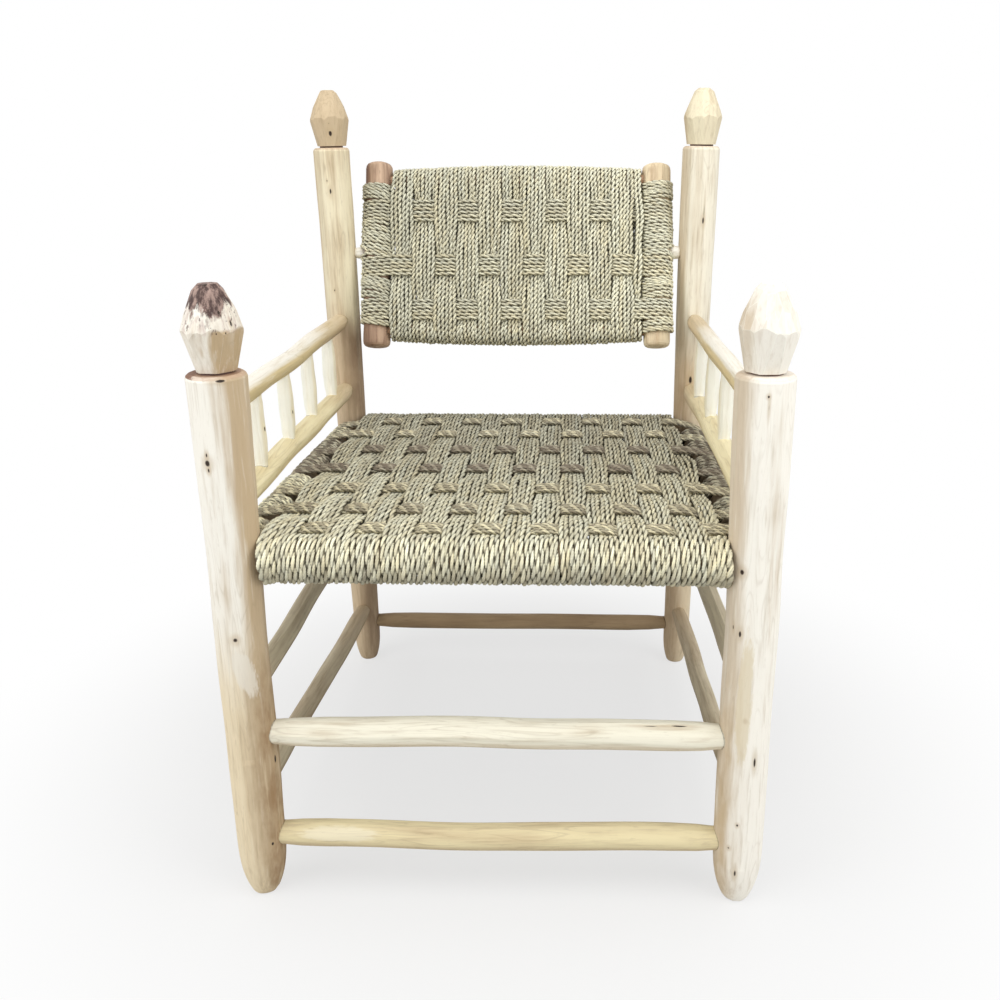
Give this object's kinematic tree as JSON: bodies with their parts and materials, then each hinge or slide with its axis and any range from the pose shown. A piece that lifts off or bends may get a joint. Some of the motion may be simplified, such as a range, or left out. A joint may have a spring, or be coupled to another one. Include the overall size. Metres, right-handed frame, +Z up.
{
  "type": "woven cord armchair",
  "caption": "Armchair of whittled round wood with pointed post tops, a woven palm-cord seat, spindled arms and a woven back panel that tilts on pegs.",
  "frame": {"origin": "on the floor, under the middle of the chair's overall box", "axes": "+Z up, -Y towards the front of the chair, +X to the right of someone facing it; left and right in names are as seen by that person"},
  "size_m": [0.613, 0.6586, 0.9131],
  "materials": {
    "pale_wood": "bare, hand shaved",
    "brown_wood": "bare, partly with bark",
    "palm_cord": "twisted two-ply leaf cord"
  },
  "bodies": {
    "frame": {"left_front_post": "pale_wood", "right_front_post": "pale_wood", "left_rear_post": "pale_wood", "right_rear_post": "pale_wood", "front_seat_rail": "pale_wood", "rear_seat_rail": "pale_wood", "left_seat_rail": "pale_wood", "right_seat_rail": "pale_wood", "front_low_stretcher": "pale_wood", "front_high_stretcher": "pale_wood", "back_stretcher": "brown_wood", "left_high_stretcher": "pale_wood", "left_low_stretcher": "pale_wood", "right_high_stretcher": "pale_wood", "right_low_stretcher": "pale_wood", "left_high_arm_rail": "pale_wood", "left_low_arm_rail": "pale_wood", "right_high_arm_rail": "pale_wood", "right_low_arm_rail": "pale_wood", "left_arm_spindle_1": "pale_wood", "left_arm_spindle_2": "pale_wood", "left_arm_spindle_3": "pale_wood", "left_arm_spindle_4": "pale_wood", "right_arm_spindle_1": "pale_wood", "right_arm_spindle_2": "pale_wood", "right_arm_spindle_3": "pale_wood", "right_arm_spindle_4": "pale_wood", "woven_seat": "palm_cord"},
    "tilting_back": {"left_back_stile": "brown_wood", "right_back_stile": "brown_wood", "top_back_rail": "brown_wood", "bottom_back_rail": "brown_wood", "left_pivot_peg": "pale_wood", "right_pivot_peg": "pale_wood", "woven_back": "palm_cord", "left_stile_lashing": "palm_cord", "right_stile_lashing": "palm_cord"}
  },
  "joints": [
    {"name": "back_tilt", "type": "hinge", "parent": "frame", "child": "tilting_back", "pos_m": [0, 0.26417, 0.68], "axis": [1, 0, 0], "continuous": true}
  ]
}
